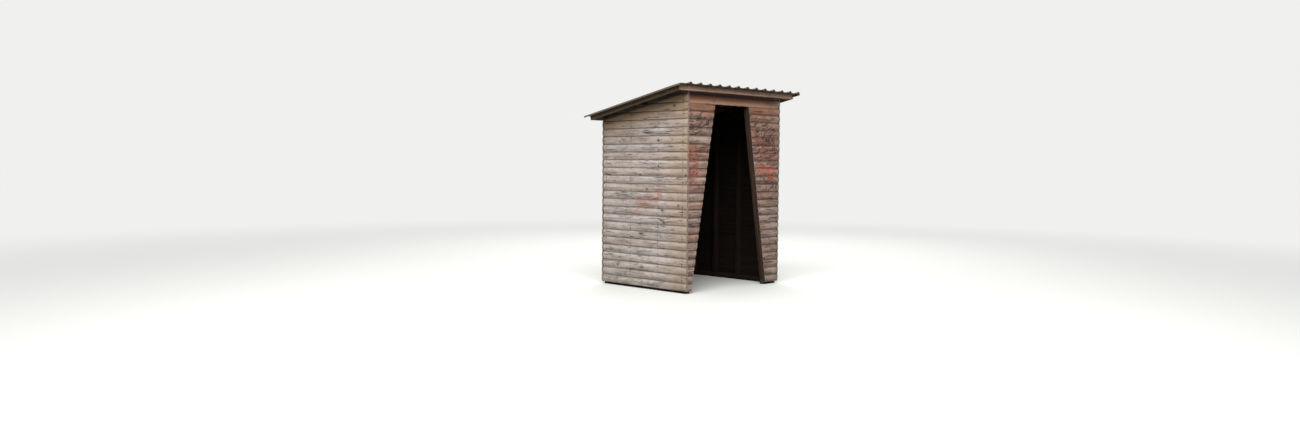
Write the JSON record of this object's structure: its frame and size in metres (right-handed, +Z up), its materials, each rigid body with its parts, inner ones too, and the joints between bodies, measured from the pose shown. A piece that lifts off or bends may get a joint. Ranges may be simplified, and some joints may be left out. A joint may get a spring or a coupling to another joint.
{
  "type": "timber bus shelter",
  "caption": "Small timber waiting hut with half-log board walls, an open tapering doorway and a ribbed single-pitch roof.",
  "frame": {"origin": "on the ground, under the middle of the whole shelter", "axes": "+Z up; the doorway faces -Y and the roof falls towards +Y; +X to the right as the doorway is faced"},
  "size_m": [2.334, 1.7076, 2.5553],
  "materials": {
    "frame_timber": "rough sawn, darkened",
    "side_boards": "bare, weathered grey",
    "front_boards": "bare, weathered warm brown",
    "edge_boards": "planed, weathered",
    "roof_sheets": "dull, dirty"
  },
  "bodies": {
    "root": {"sole_left": "frame_timber", "sole_right": "frame_timber", "sole_back": "frame_timber", "sole_front": "frame_timber", "corner_post_front_left": "frame_timber", "corner_post_front_right": "frame_timber", "corner_post_back_left": "frame_timber", "corner_post_back_right": "frame_timber", "door_post_left": "frame_timber", "door_post_right": "frame_timber", "stud_left_front": "frame_timber", "stud_left_back": "frame_timber", "stud_right_front": "frame_timber", "stud_right_back": "frame_timber", "stud_back": "frame_timber", "front_beam": "frame_timber", "back_beam": "frame_timber", "rafter_left": "frame_timber", "rafter_right": "frame_timber", "purlin_front": "frame_timber", "purlin_middle": "frame_timber", "purlin_back": "frame_timber", "left_wall": "side_boards", "right_wall": "side_boards", "back_wall": "side_boards", "front_wall_left": "front_boards", "front_wall_right": "front_boards", "front_wall_over_door": "front_boards", "fascia_front": "edge_boards", "eave_board_back": "edge_boards", "barge_board_left": "edge_boards", "barge_board_right": "edge_boards", "roof_sheet_left": "roof_sheets", "roof_sheet_middle": "roof_sheets", "roof_sheet_right": "roof_sheets"}
  },
  "joints": []
}
